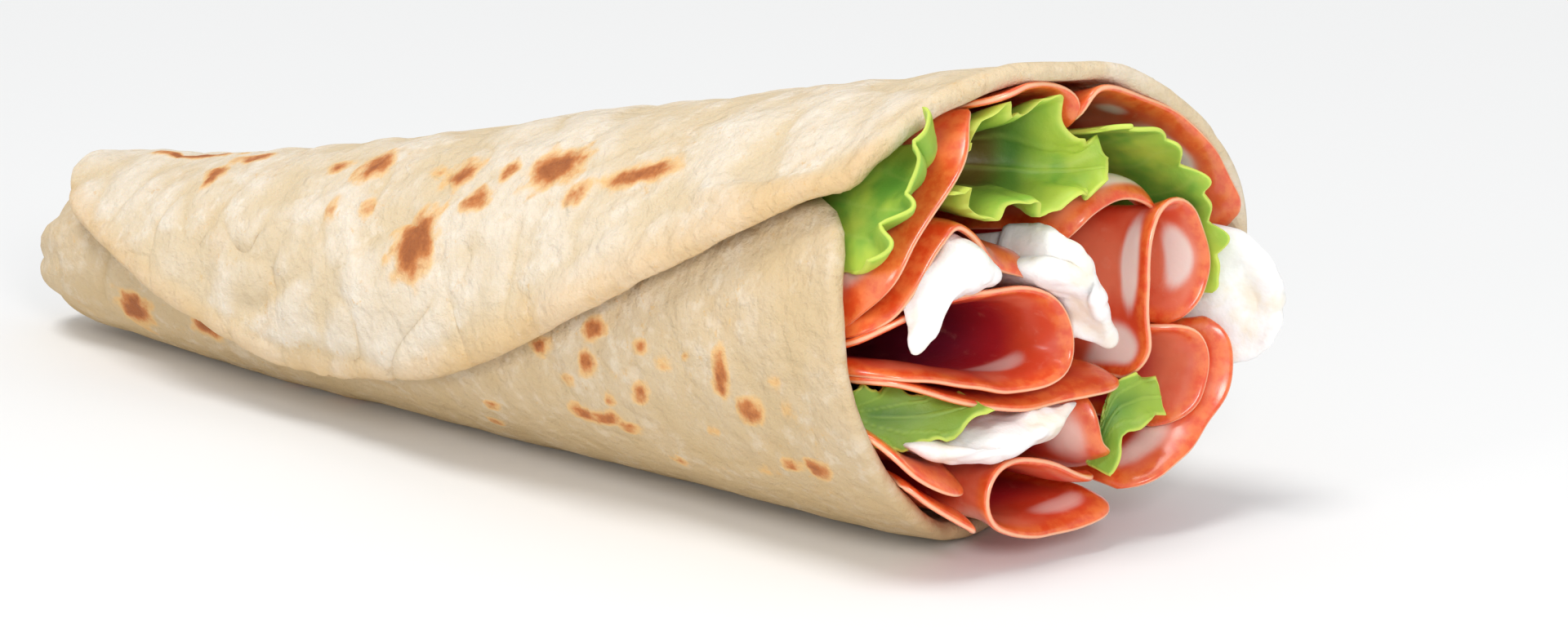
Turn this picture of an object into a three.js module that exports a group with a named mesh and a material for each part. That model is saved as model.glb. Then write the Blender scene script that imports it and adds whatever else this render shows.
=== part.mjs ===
// A flatbread rolled into a cone round folded ham, lettuce and soft cheese.
// Millimetres, +Z up. The roll lies along X on a flat strip, with its mouth towards +X
// and its tucked tail towards -X. Angles go round the roll in degrees: 0 is the top,
// 90 the near side (-Y), and the sheet winds from its hidden inner end to its free flap.
import * as THREE from 'three';

// The cone that the roll follows, at two stations along X.
const tailStation = -118;
const mouthStation = 118;
const tailRadius = 17.1;
const mouthRadius = 43.3;
const restFlat = 0.8; // how far the underside is pressed flat

// The sheet of bread.
const breadThickness = 3.0;
const turnPitch = 3.8; // how much wider the roll grows with each turn
const meanAngle = -105; // the angle where the sheet lies on the cone itself
const innerAngle = -455;
const flapAngle = 118.5;
const edgeThinning = 0.42; // thickness left at the sheet's rounded edge

// The tail: the inner turns curl in to a small pinched hole, the flap stays open over them.
const curlStation = -112;
const curlLength = 25;
const curlDroop = 5; // how far the pinched tip sinks below the roll's axis
const curlSway = 1.5; // and how far it swings to the near side
const pinchRadius = 1.9;
const curlFrom = -150; // on the far side the curled end opens out into the flap's free end
const curlTo = -32;
const flapTail = -123.5;
const tailLift = 2.4; // how far the tail rises clear of the ground
const liftFrom = -55;

// The sheet's outline as [angle, x]: the mouth rim and the flap's edge, then the tail side.
const mouthOutline = [
  [-455, -118], [-430, -114], [-400, -104], [-385, -80], [-360, -28], [-335, 35], [-318, 70],
  [-306, 83.5], [-285, 88.5], [-265, 91], [-245, 94], [-222, 95.5], [-190, 93], [-160, 92],
  [-132, 97], [-110, 107], [-90, 115.5], [-70, 116.5], [-45, 113], [-20, 107], [0, 102],
  [28, 94], [48, 88], [54, 77], [61, 67], [71, 52], [90, 25], [107, 0], [113, -17],
  [117, -32], [118.5, -42],
];
const tailOutline = [
  [28, flapTail], [40, -121], [52, -117], [63, -111], [78, -98], [93, -83], [105, -68],
  [113, -56], [118.5, -46],
];

// Soft swellings of the sheet as [x, angle, half length in x, half width in degrees, height].
const breadSwellings = [
  [-78, 62, 30, 34, 1.6],
  [-20, 88, 26, 22, 1.1],
  [-112, 5, 12, 40, 0.9],
  [72, 52, 18, 10, 0.9],
  [108, -180, 20, 50, -2.4],
];

// The filling is laid out in the section across the roll at this station, and every
// other section is that one shrunk towards the roll's axis.
const layoutStation = 105;
const pinchFrom = 100;
const pinchTo = -60;
const pinchedScale = 0.72;
const mouthSlopeY = 0.3; // the mouth's plane leans: its far side reaches further out
const mouthSlopeZ = -0.1;
const hamThickness = 1.5;
const leafThickness = 0.9;
const edgeWidth = 1.6; // the rounded strip along a slice's front edge
const hamStations = [85, 20, -60]; // where the slices bend on their way into the roll
const leafStations = [85, 20];
const cheeseStations = [20, 85];

// The middle of the whole roll, which stands over the origin.
const centreX = -6.75;
const centreY = 2.35;

const colours = {
  bread: 0xe6d6ba,
  ham: 0xd8583a,
  leaf: 0x8fae3a,
  cheese: 0xfbfdfe,
};

const finishes = {
  bread: new THREE.MeshStandardMaterial({ color: colours.bread, roughness: 0.85, metalness: 0 }),
  ham: new THREE.MeshStandardMaterial({ color: colours.ham, roughness: 0.4, metalness: 0 }),
  leaf: new THREE.MeshStandardMaterial({ color: colours.leaf, roughness: 0.5, metalness: 0 }),
  cheese: new THREE.MeshStandardMaterial({ color: colours.cheese, roughness: 0.45, metalness: 0 }),
};

const radians = THREE.MathUtils.degToRad;

// A smooth curve through [t, value] pairs, read at t.
function readCurve(points, t) {
  const last = points.length - 1;
  if (t <= points[0][0]) return points[0][1];
  if (t >= points[last][0]) return points[last][1];
  let k = 0;
  while (t > points[k + 1][0]) k += 1;
  const slope = (i) => {
    const before = points[Math.max(i - 1, 0)];
    const after = points[Math.min(i + 1, last)];
    return (after[1] - before[1]) / (after[0] - before[0]);
  };
  const [t0, v0] = points[k];
  const [t1, v1] = points[k + 1];
  const span = t1 - t0;
  const u = (t - t0) / span;
  const fromStart = (1 + 2 * u) * (1 - u) ** 2 * v0 + u * (1 - u) ** 2 * span * slope(k);
  const fromEnd = u * u * (3 - 2 * u) * v1 + u * u * (u - 1) * span * slope(k + 1);
  return fromStart + fromEnd;
}

function coneRadius(x) {
  return THREE.MathUtils.mapLinear(x, tailStation, mouthStation, tailRadius, mouthRadius);
}

function sheetRadius(angle, x) {
  return coneRadius(x) - breadThickness / 2 + (turnPitch * (angle - meanAngle)) / 360;
}

function axisHeight(x) {
  const rise = tailLift * (Math.max(liftFrom - x, 0) / (liftFrom - tailStation)) ** 2;
  return sheetRadius(-180, x) + breadThickness / 2 - restFlat + rise;
}

// A closed solid from two matching grids of points, one for each face of a sheet.
// Both faces are split into triangles alike, and a strip runs round the edge.
function sheetGeometry(outer, inner) {
  const columns = outer.length;
  const rows = outer[0].length;
  const positions = [];
  for (const face of [outer, inner]) {
    for (const column of face) {
      for (const point of column) positions.push(...point);
    }
  }
  const at = (face, i, j) => face * columns * rows + i * rows + j;
  const triangles = [];
  for (let i = 0; i + 1 < columns; i += 1) {
    for (let j = 0; j + 1 < rows; j += 1) {
      const [a, b] = [at(0, i, j), at(0, i + 1, j)];
      const [c, d] = [at(0, i + 1, j + 1), at(0, i, j + 1)];
      triangles.push(a, b, c, a, c, d);
      const [e, f] = [at(1, i, j), at(1, i + 1, j)];
      const [g, h] = [at(1, i + 1, j + 1), at(1, i, j + 1)];
      triangles.push(e, g, f, e, h, g);
    }
  }
  const border = [];
  for (let i = 0; i < columns - 1; i += 1) border.push([i, 0]);
  for (let j = 0; j < rows - 1; j += 1) border.push([columns - 1, j]);
  for (let i = columns - 1; i > 0; i -= 1) border.push([i, rows - 1]);
  for (let j = rows - 1; j > 0; j -= 1) border.push([0, j]);
  border.forEach(([i, j], k) => {
    const [m, n] = border[(k + 1) % border.length];
    triangles.push(at(0, i, j), at(1, i, j), at(1, m, n), at(0, i, j), at(1, m, n), at(0, m, n));
  });
  const geometry = new THREE.BufferGeometry();
  geometry.setAttribute('position', new THREE.Float32BufferAttribute(positions, 3));
  geometry.setIndex(triangles);
  return geometry;
}

// --- the bread ---

// A point on the middle of the sheet's thickness.
function breadMiddle(angle, along) {
  const curled = 1 - THREE.MathUtils.smoothstep(angle, curlFrom, curlTo);
  const tipX = curlStation - curlLength;
  const tailX = THREE.MathUtils.lerp(readCurve(tailOutline, angle), tipX, curled);
  const run = THREE.MathUtils.lerp(tailX, readCurve(mouthOutline, angle), along);
  const beyond = Math.max(curlStation - run, 0);
  const bend = (beyond * Math.PI) / (2 * curlLength);
  const tipward = curled * (1 - Math.cos(bend));
  const x = run + curled * (beyond - curlLength * Math.sin(bend));
  let radius = sheetRadius(angle, Math.max(run, THREE.MathUtils.lerp(tailX, curlStation, curled)));
  radius -= (sheetRadius(angle, curlStation) - pinchRadius) * tipward;
  for (const [middleX, middleAngle, spanX, spanAngle, height] of breadSwellings) {
    const reach = ((x - middleX) / spanX) ** 2 + ((angle - middleAngle) / spanAngle) ** 2;
    radius += height * Math.exp(-reach);
  }
  const y = -radius * Math.sin(radians(angle)) - curlSway * tipward;
  const z = axisHeight(x) + radius * Math.cos(radians(angle)) - curlDroop * tipward;
  return new THREE.Vector3(x, y, z);
}

// A point of the sheet's outer face, or of its inner face where away is negative.
function breadPoint(angle, along, away) {
  const round = breadMiddle(angle + 1, along).sub(breadMiddle(angle - 1, along));
  const [before, after] = [Math.max(along - 0.004, 0), Math.min(along + 0.004, 1)];
  const lengthwise = breadMiddle(angle, after).sub(breadMiddle(angle, before));
  const outward = round.cross(lengthwise).normalize();
  const point = breadMiddle(angle, along).addScaledVector(outward, away);
  point.z = Math.max(point.z, breadThickness / 2 - away);
  return point.toArray();
}

function breadGeometry() {
  const columns = 70;
  const rows = 20;
  const angles = [innerAngle];
  for (let i = 0; i <= columns; i += 1) {
    angles.push(THREE.MathUtils.lerp(innerAngle + 2.5, flapAngle - 1.6, i / columns));
  }
  angles.push(flapAngle);
  const outer = [];
  const inner = [];
  angles.forEach((angle, i) => {
    const outerColumn = [];
    const innerColumn = [];
    for (let j = 0; j <= rows; j += 1) {
      const along = (1 - Math.cos((Math.PI * j) / rows)) / 2;
      const atEdge = i === 0 || i === angles.length - 1 || j === 0 || j === rows;
      const half = (breadThickness / 2) * (atEdge ? edgeThinning : 1);
      outerColumn.push(breadPoint(angle, along, half));
      innerColumn.push(breadPoint(angle, along, -half));
    }
    outer.push(outerColumn);
    inner.push(innerColumn);
  });
  return sheetGeometry(outer, inner);
}

// --- the filling ---

// Moves a point of the layout section along the roll to the section at x.
function inSection(x, y, z) {
  const pinch = THREE.MathUtils.smoothstep(x, pinchTo, pinchFrom);
  const narrowing = THREE.MathUtils.lerp(pinchedScale, 1, pinch);
  const scale = (coneRadius(x) / coneRadius(layoutStation)) * narrowing;
  return [x, y * scale, axisHeight(x) + (z - axisHeight(layoutStation)) * scale];
}

function mouthPlane(y, z) {
  return layoutStation + 1 + mouthSlopeY * y + mouthSlopeZ * (z - 43);
}

// A folded slice or leaf: its path across the section, run back into the roll through
// stations. fronts holds how far its front edge stands out of the mouth along the path,
// and that edge has so many waves of ruffle and leans in y and z.
function foldedSheet(sheet) {
  const { path, fronts, stations, thickness, steps } = sheet;
  const { ruffle = 0, waves = 0, lean = [0, 0] } = sheet;
  const curve = new THREE.SplineCurve(path.map(([y, z]) => new THREE.Vector2(y, z)));
  const frontPoints = fronts.map((value, k) => [k / (fronts.length - 1), value]);
  const faces = [[], []];
  for (let i = 0; i <= steps; i += 1) {
    const t = i / steps;
    const { x: y, y: z } = curve.getPointAt(t);
    const tangent = curve.getTangentAt(t);
    const phase = 2 * Math.PI * waves * t;
    const front = mouthPlane(y, z) + readCurve(frontPoints, t) + ruffle * Math.sin(phase);
    const rows = [front, front - edgeWidth, ...stations];
    faces.forEach((face, side) => {
      face.push(rows.map((x, j) => {
        const atEdge = i === 0 || i === steps || j === 0 || j === rows.length - 1;
        const half = (thickness / 2) * (atEdge ? 0.55 : 1) * (side === 0 ? 1 : -1);
        const flop = j < 2 ? 1 - 0.4 * j : 0;
        const shiftY = flop * (lean[0] + ruffle * 0.5 * Math.cos(phase));
        return inSection(x, y + shiftY + tangent.y * half, z + flop * lean[1] - tangent.x * half);
      }));
    });
  }
  return sheetGeometry(faces[1], faces[0]);
}

// A leaf that faces out of the mouth: it hangs between a top and a bottom line of the
// section, stands out by topFront and bottomFront, and is cupped in between.
function leafFace({ top, bottom, topFront, bottomFront, cup, ruffle, waves, columns, rows }) {
  const line = (points) => new THREE.SplineCurve(points.map(([y, z]) => new THREE.Vector2(y, z)));
  const topLine = line(top);
  const bottomLine = line(bottom);
  const point = (u, v) => {
    const from = topLine.getPoint(u);
    const to = bottomLine.getPoint(u);
    const wave = Math.sin(2 * Math.PI * waves * u) * ruffle * (2 * v - 1) ** 2;
    const y = THREE.MathUtils.lerp(from.x, to.x, v);
    const z = THREE.MathUtils.lerp(from.y, to.y, v);
    const hollow = cup * 4 * v * (1 - v) * (1 - 0.8 * u);
    const x = mouthPlane(y, z) + THREE.MathUtils.lerp(topFront, bottomFront, v) + wave - hollow;
    return new THREE.Vector3(...inSection(x, y, z));
  };
  const step = 0.02;
  const faces = [[], []];
  for (let i = 0; i <= columns; i += 1) {
    faces.forEach((face, side) => {
      const column = [];
      for (let j = 0; j <= rows; j += 1) {
        const [u, v] = [i / columns, j / rows];
        const middle = point(u, v);
        const across = point(Math.min(u + step, 1), v).sub(point(Math.max(u - step, 0), v));
        const down = point(u, Math.min(v + step, 1)).sub(point(u, Math.max(v - step, 0)));
        const atEdge = i === 0 || i === columns || j === 0 || j === rows;
        const half = (leafThickness / 2) * (atEdge ? 0.55 : 1) * (side === 0 ? 1 : -1);
        column.push(middle.addScaledVector(down.cross(across).normalize(), half).toArray());
      }
      face.push(column);
    });
  }
  return sheetGeometry(faces[1], faces[0]);
}

// A soft lump of cheese: a rounded outline in the section with a swollen front, which
// spills by so much in y and z where it stands out of the mouth.
function lumpGeometry({ outline, front, swell, spill }) {
  const corners = outline.map(([y, z]) => new THREE.Vector2(y, z));
  const curve = new THREE.SplineCurve([...corners, corners[0]]);
  const around = 18;
  const middle = new THREE.Vector2();
  for (const corner of corners) middle.addScaledVector(corner, 1 / corners.length);
  const [back, neck] = cheeseStations;
  const rings = [
    [back - front, 0.6], [neck - front, 0.94], [-4, 1], [swell * 0.2, 0.97], [swell * 0.65, 0.74],
    [swell * 0.92, 0.4],
  ];
  const positions = [];
  for (const [ahead, size] of rings) {
    const out = THREE.MathUtils.smoothstep(ahead, -4, swell * 0.5);
    for (let i = 0; i < around; i += 1) {
      const { x, y } = curve.getPointAt(i / around).sub(middle).multiplyScalar(size);
      const lean = out * (mouthSlopeY * x + mouthSlopeZ * y);
      positions.push(...inSection(
        front + ahead + lean,
        middle.x + x + out * spill[0],
        middle.y + y + out * spill[1],
      ));
    }
  }
  const backPole = positions.length / 3;
  positions.push(...inSection(back - 4, middle.x, middle.y));
  positions.push(...inSection(front + swell, middle.x + spill[0], middle.y + spill[1]));
  const triangles = [];
  for (let k = 0; k + 1 < rings.length; k += 1) {
    for (let i = 0; i < around; i += 1) {
      const next = (i + 1) % around;
      const [a, b] = [k * around + i, k * around + next];
      const [c, d] = [(k + 1) * around + next, (k + 1) * around + i];
      triangles.push(a, b, c, a, c, d);
    }
  }
  const lastRing = (rings.length - 1) * around;
  for (let i = 0; i < around; i += 1) {
    const next = (i + 1) % around;
    triangles.push(backPole, next, i);
    triangles.push(backPole + 1, lastRing + i, lastRing + next);
  }
  const geometry = new THREE.BufferGeometry();
  geometry.setAttribute('position', new THREE.Float32BufferAttribute(positions, 3));
  geometry.setIndex(triangles);
  return geometry;
}

// Every slice of ham, as its path across the layout section in [y, z].
const hamSlices = {
  ham_lining_left: {
    path: [[-10.5, 77.6], [-3, 78.6], [3.4, 77.6], [6.2, 75], [6.2, 70.6]],
    fronts: [1, 0, 0, 1],
    steps: 12,
  },
  ham_lining_right: {
    path: [
      [8.4, 71.4], [8.8, 75.2], [12.4, 75.9], [19.6, 72.6], [26.8, 66.8], [32.4, 59.8], [36, 51.6],
      [37, 47.4],
    ],
    fronts: [1, 0, 0, 0, 0],
    steps: 20,
  },
  ham_left_arch: {
    path: [
      [-34.5, 46], [-32.1, 52.1], [-28.2, 58.6], [-23.8, 64.1], [-19.4, 69.4], [-16.4, 73.2],
      [-14.2, 75.6],
    ],
    fronts: [-2, 0, 1, 2, 2, 2],
    steps: 16,
  },
  ham_cradle: {
    path: [
      [-35.2, 43.3], [-30.6, 47.4], [-26.9, 52.2], [-23.4, 57.4], [-20.2, 60.2], [-16.6, 59.6],
      [-10.7, 55.6], [-3.4, 52.2],
    ],
    fronts: [-3, 0, 1, 1, 1, 1],
    steps: 20,
  },
  ham_loop: {
    path: [
      [-35.5, 41], [-28.6, 44.6], [-16.5, 46], [-6.8, 44.8], [-1, 41.2], [0.9, 36.2], [-0.9, 32.6],
      [-9, 31.6], [-17.3, 33.8], [-28, 37.4], [-35.2, 39],
    ],
    fronts: [-3, 0, 1, 1, 1, 1, 0, -3],
    steps: 26,
  },
  ham_band: {
    path: [[-35.2, 36.6], [-30, 35.6], [-24, 33], [-17, 30.4], [-8, 28.3], [3.6, 28.6], [13.4, 29.2]],
    fronts: [-3, 0, 1, 1, 1],
    steps: 16,
  },
  ham_arch: {
    path: [[2.8, 54.6], [5.6, 58.4], [10.4, 60.8], [15.2, 61.4], [20.1, 59.8], [25.2, 56.4]],
    fronts: [0, 1, 1, 1, 1],
    steps: 14,
  },
  ham_right_loop: {
    path: [
      [16.6, 33], [16.9, 44], [18.9, 50.8], [22, 54.2], [25, 53.6], [27.2, 50], [28.2, 45], [26.8, 39.2],
      [23.4, 35.2],
    ],
    fronts: [2, 2, 2, 2],
    steps: 22,
  },
  ham_right_fold: {
    path: [[20.4, 33.2], [24.6, 32.4], [26.6, 28], [25.2, 22], [20.6, 18.4]],
    fronts: [2, 2, 2],
    steps: 14,
  },
  ham_upright: {
    path: [[4.2, 25.6], [3.8, 20], [4.6, 15.8], [7.2, 14]],
    fronts: [0, 1, 1],
    steps: 10,
  },
  ham_lower_left: {
    path: [[-33.2, 28.4], [-31, 24.6], [-27.6, 21.2], [-23.4, 19.2], [-18.6, 19]],
    fronts: [-2, 0, 1, 1],
    steps: 12,
  },
  ham_bottom_loop: {
    path: [
      [9.2, 9.2], [3.6, 7.5], [-4, 6.8], [-11.6, 7.8], [-15.6, 10.8], [-16, 14.2], [-13.4, 16.6],
      [-9, 17.1], [-3.4, 14.8], [3, 12], [7.6, 11.3],
    ],
    fronts: [1, 1, 1, 1, 1, 1, 1],
    steps: 26,
  },
  ham_bottom_outer: {
    path: [[-28.6, 18.6], [-24.8, 15], [-20.4, 11.8], [-18, 10.4]],
    fronts: [-2, 0, 1],
    steps: 8,
  },
  ham_lower_right: {
    path: [[11.4, 9.8], [16.6, 12.8], [22.8, 17], [27.8, 21.6], [30, 27.6], [29.4, 33.6]],
    fronts: [3, 3, 3, 3],
    steps: 16,
  },
};

// Leaves that run back into the roll as the slices do.
const leafSheets = {
  leaf_left: {
    path: [[-33, 54], [-30.8, 58.4], [-26.9, 63.7], [-23.3, 68.1], [-20.7, 71.1]],
    fronts: [1, 1, 2, 2, 2],
    lean: [-3.4, 2.6],
    ruffle: 1,
    waves: 3,
    steps: 20,
  },
  leaf_right: {
    path: [[10.4, 69.6], [18, 68.4], [23.4, 64], [27.6, 58.2], [30.4, 51.6], [31.2, 45], [30.6, 38.5]],
    fronts: [2, 2, 2, 2],
    ruffle: 1,
    waves: 4,
    steps: 26,
  },
};

// Leaves whose broad face shows in the mouth.
const leafFaces = {
  leaf_center: {
    top: [[-16.2, 70], [-12.2, 74.2], [-6.8, 75.8], [1, 74.8], [5, 69], [8, 64]],
    bottom: [[-20.8, 65.2], [-17.4, 62.6], [-12.4, 60.4], [-6, 59.4], [0.4, 58.6], [4.6, 61]],
    topFront: -1,
    bottomFront: 2,
    cup: 30,
    ruffle: 1,
    waves: 4,
    columns: 22,
    rows: 8,
  },
  leaf_lower_left: {
    top: [[-34, 33.8], [-29.6, 33.4], [-24, 31], [-17.6, 28.4]],
    bottom: [[-34, 29.8], [-31, 27.3], [-25, 26.2], [-17.8, 27]],
    topFront: -8,
    bottomFront: 0,
    cup: 1,
    ruffle: 0.8,
    waves: 2,
    columns: 12,
    rows: 4,
  },
  leaf_lower_right: {
    top: [[6.2, 24.6], [10.6, 25.8], [15, 25.8], [18, 23.6]],
    bottom: [[6.2, 15.6], [8.8, 18.4], [13.4, 20], [17.8, 21]],
    topFront: -4,
    bottomFront: 2,
    cup: 2,
    ruffle: 0.8,
    waves: 2,
    columns: 10,
    rows: 5,
  },
};

// Lumps of cheese, as their outline in the layout section, anticlockwise from the top.
const lumps = {
  cheese_left: {
    outline: [
      [-20, 58.6], [-23.5, 54.8], [-26.3, 49.5], [-28.8, 46.8], [-27, 46.6], [-20, 47.6], [-12, 47.5],
      [-8.8, 48.6], [-10.8, 53.2], [-16, 57.9],
    ],
    front: 97,
    swell: 6,
    spill: [-0.6, 0],
  },
  cheese_center: {
    outline: [
      [0, 55.6], [-1.6, 53], [-2.4, 50.6], [-6.4, 50.8], [-7.4, 49], [-5, 47], [-0.6, 44.6], [2.4, 41],
      [3.8, 35.4], [6.2, 36.6], [6.8, 41], [5.4, 46.4], [2.8, 52],
    ],
    front: 105,
    swell: 5,
    spill: [0, 0],
  },
  cheese_lower: {
    outline: [
      [2.4, 26.7], [-6, 26.5], [-14, 25.6], [-22, 24.4], [-28.2, 24.2], [-26.6, 22.8], [-22.6, 20.9],
      [-17, 20.6], [-10.6, 20], [-6, 21.2], [-1, 23.8],
    ],
    front: 103,
    swell: 6,
    spill: [0, -1],
  },
  cheese_right: {
    outline: [
      [33.6, 49.6], [33, 44], [33, 37], [32.8, 30], [32.8, 25.6], [34.6, 26.4], [36.8, 31], [37.6, 38],
      [36.6, 43.6], [35, 47.4],
    ],
    front: 118,
    swell: 7,
    spill: [3, -1],
  },
};

const model = new THREE.Group();
model.position.set(-centreX, -centreY, 0);

function addPiece(name, geometry, finish) {
  const mesh = new THREE.Mesh(geometry, finish);
  mesh.name = name;
  model.add(mesh);
}

addPiece('flatbread', breadGeometry(), finishes.bread);
for (const [name, slice] of Object.entries(hamSlices)) {
  addPiece(name, foldedSheet({ ...slice, stations: hamStations, thickness: hamThickness }), finishes.ham);
}
for (const [name, leaf] of Object.entries(leafSheets)) {
  addPiece(name, foldedSheet({ ...leaf, stations: leafStations, thickness: leafThickness }), finishes.leaf);
}
for (const [name, leaf] of Object.entries(leafFaces)) {
  addPiece(name, leafFace(leaf), finishes.leaf);
}
for (const [name, lump] of Object.entries(lumps)) {
  addPiece(name, lumpGeometry(lump), finishes.cheese);
}

export default model;
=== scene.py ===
import bpy
import math
import random
import numpy as np
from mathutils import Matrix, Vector, noise


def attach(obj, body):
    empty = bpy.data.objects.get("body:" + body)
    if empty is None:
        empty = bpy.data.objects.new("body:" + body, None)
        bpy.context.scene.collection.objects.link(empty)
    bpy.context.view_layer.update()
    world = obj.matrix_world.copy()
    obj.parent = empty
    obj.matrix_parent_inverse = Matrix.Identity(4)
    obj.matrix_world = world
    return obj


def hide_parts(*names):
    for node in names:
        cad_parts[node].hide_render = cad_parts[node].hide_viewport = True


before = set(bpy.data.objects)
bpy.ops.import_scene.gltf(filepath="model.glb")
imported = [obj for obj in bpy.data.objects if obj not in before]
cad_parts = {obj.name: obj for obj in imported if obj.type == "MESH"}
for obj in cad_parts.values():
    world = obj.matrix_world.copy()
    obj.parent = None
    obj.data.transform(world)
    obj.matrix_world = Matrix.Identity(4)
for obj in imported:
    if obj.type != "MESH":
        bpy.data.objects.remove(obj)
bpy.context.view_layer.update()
mm = 0.001  # every shape below is worked out in millimetres

roll = {
    "tailStation": -118, "mouthStation": 118,  # the cone that the roll follows
    "tailRadius": 17.1, "mouthRadius": 43.3,
    "restFlat": 0.8,  # how far the underside is pressed flat
    "tailLift": 2.4, "liftFrom": -55,  # how far the tail's end is lifted, and from where on
    "centreX": -6.75, "centreY": 2.35,  # the middle of the roll, which stands over the origin
    "layoutStation": 105,  # the filling is laid out in this section
    "pinchFrom": 100, "pinchTo": -60, "pinchedScale": 0.72,  # how the filling narrows inward
    "mouthAhead": 1, "mouthHeight": 43,  # a point of the mouth's plane, ahead of that section
    "mouthSlopeY": 0.3, "mouthSlopeZ": -0.1,  # how the plane leans
}


def lerp(a, b, t):
    return a + (b - a) * t


def smoothstep(value, low, high):
    t = np.clip((value - low) / (high - low), 0, 1)
    return t * t * (3 - 2 * t)


def readCurve(points, t):  # a smooth curve through [t, value] pairs, read at t
    knots, values = np.array(points, float).T
    last = len(knots) - 1
    t = np.clip(t, knots[0], knots[-1])
    before = np.maximum(np.arange(last + 1) - 1, 0)
    after = np.minimum(np.arange(last + 1) + 1, last)
    slopes = (values[after] - values[before]) / (knots[after] - knots[before])
    k = np.clip(np.searchsorted(knots, t) - 1, 0, last - 1)
    span = knots[k + 1] - knots[k]
    u = (t - knots[k]) / span
    fromStart = (1 + 2 * u) * (1 - u) ** 2 * values[k] + u * (1 - u) ** 2 * span * slopes[k]
    fromEnd = u * u * (3 - 2 * u) * values[k + 1] + u * u * (u - 1) * span * slopes[k + 1]
    return fromStart + fromEnd


def smoothPath(points, count):  # evenly spaced points on a smooth path through the given ones
    p = np.array(points, float)
    fine = np.linspace(0, len(p) - 1, 60 * len(p))
    k = np.minimum(fine.astype(int), len(p) - 2)
    u = (fine - k)[:, None]
    leave = (p[k + 1] - p[np.maximum(k - 1, 0)]) / 2
    arrive = (p[np.minimum(k + 2, len(p) - 1)] - p[k]) / 2
    start = (2 * u ** 3 - 3 * u ** 2 + 1) * p[k] + (u ** 3 - 2 * u ** 2 + u) * leave
    curve = start + (3 * u ** 2 - 2 * u ** 3) * p[k + 1] + (u ** 3 - u ** 2) * arrive
    steps = np.linalg.norm(np.diff(curve, axis=0), axis=1)
    walked = np.concatenate([[0], np.cumsum(steps)])
    even = np.linspace(0, walked[-1], count)
    return np.column_stack([np.interp(even, walked, curve[:, i]) for i in (0, 1)]), walked[-1]


def softened(path, length, reach):  # the path with its corners rounded off, its ends held
    half = max(int(reach / length * len(path)), 1)
    before = 2 * path[0] - path[half:0:-1]
    after = 2 * path[-1] - path[-2:-half - 2:-1]
    longer = np.concatenate([before, path, after])
    share = np.ones(2 * half + 1) / (2 * half + 1)
    return np.column_stack([np.convolve(longer[:, i], share, "valid") for i in (0, 1)])


def coneRadius(x):
    along = (x - roll["tailStation"]) / (roll["mouthStation"] - roll["tailStation"])
    return lerp(roll["tailRadius"], roll["mouthRadius"], along)


def lumpiness(points, size, seed):  # smooth noise from -1 to 1 at each point, features of that size
    shift = Vector((17.3 * seed, -9.1 * seed, 5.7 * seed))
    flat = points.reshape(-1, points.shape[-1]) / size
    found = [noise.noise(Vector(p) + shift) for p in flat.tolist()]
    return np.array(found).reshape(points.shape[:-1])


def gridNormals(points):
    across = np.gradient(points, axis=0)
    along = np.gradient(points, axis=1)
    normals = np.cross(across, along)
    return normals / np.maximum(np.linalg.norm(normals, axis=-1, keepdims=True), 1e-9)


def setPlaces(piece, points):
    places = np.array(points, float).reshape(-1, 3) * mm
    piece.data.vertices.foreach_set("co", places.ravel())
    piece.data.update()


def readPlaces(piece):
    places = np.empty(len(piece.data.vertices) * 3)
    piece.data.vertices.foreach_get("co", places)
    return places.reshape(-1, 3) / mm


def setField(piece, name, values):  # a number at every vertex, for a material to read
    field = piece.data.attributes.new(name, "FLOAT", "POINT")
    field.data.foreach_set("value", np.array(values, float).ravel())


def centred(points):  # from the layout of the roll to the frame
    return points - np.array([roll["centreX"], roll["centreY"], 0])


# A grid of quads whose vertices are put where points says, column by column.
def gridPiece(name, points):
    columns, rows = points.shape[:2]
    bpy.ops.object.select_all(action="DESELECT")
    bpy.ops.mesh.primitive_grid_add(x_subdivisions=columns - 1, y_subdivisions=rows - 1, size=2)
    piece = bpy.context.object
    piece.name = name
    piece.data.name = name
    setPlaces(piece, centred(points).transpose(1, 0, 2))
    return piece


def evenFaces(piece):  # turns the skewed faces of a slanting grid into well shaped triangles
    bpy.context.view_layer.objects.active = piece
    bpy.ops.object.mode_set(mode="EDIT")
    bpy.ops.mesh.select_all(action="SELECT")
    bpy.ops.mesh.quads_convert_to_tris(quad_method="SHORTEST_DIAGONAL")
    bpy.ops.mesh.beautify_fill(angle_limit=math.pi)
    bpy.ops.object.mode_set(mode="OBJECT")


# Gives a sheet its thickness, thinner towards its rounded edges.
def thicken(piece, thickness, fullness, fields):
    for fieldName, values in fields.items():
        setField(piece, fieldName, values.T)
    group = piece.vertex_groups.new(name="fullness")
    for index, weight in enumerate(fullness.T.ravel().tolist()):
        group.add([index], weight, "REPLACE")
    bpy.context.view_layer.objects.active = piece
    bpy.ops.object.modifier_add(type="SOLIDIFY")
    solid = piece.modifiers[-1]
    solid.thickness = thickness * mm
    solid.offset = 0
    solid.vertex_group = "fullness"
    bpy.ops.object.modifier_apply(modifier=solid.name)
    piece.vertex_groups.clear()


def roundedEdge(distance, radius):  # the share of the full thickness at that distance from the edge
    inward = np.clip(distance / radius, 0, 1)
    return np.maximum(np.sqrt(1 - (1 - inward) ** 2), 0.1)


def edgeSteps(radius, count=4):  # distances from an edge that follow a round section
    return [radius * (1 - math.cos(math.pi / 2 * k / count)) for k in range(count)]


def finishPiece(piece, node, material, smoothAngle=60):
    bpy.ops.object.select_all(action="DESELECT")
    piece.select_set(True)
    bpy.context.view_layer.objects.active = piece
    bpy.ops.object.shade_smooth_by_angle(angle=math.radians(smoothAngle))
    piece.data.materials.clear()
    piece.data.materials.append(material)
    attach(piece, "root")
    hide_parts(node)


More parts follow.
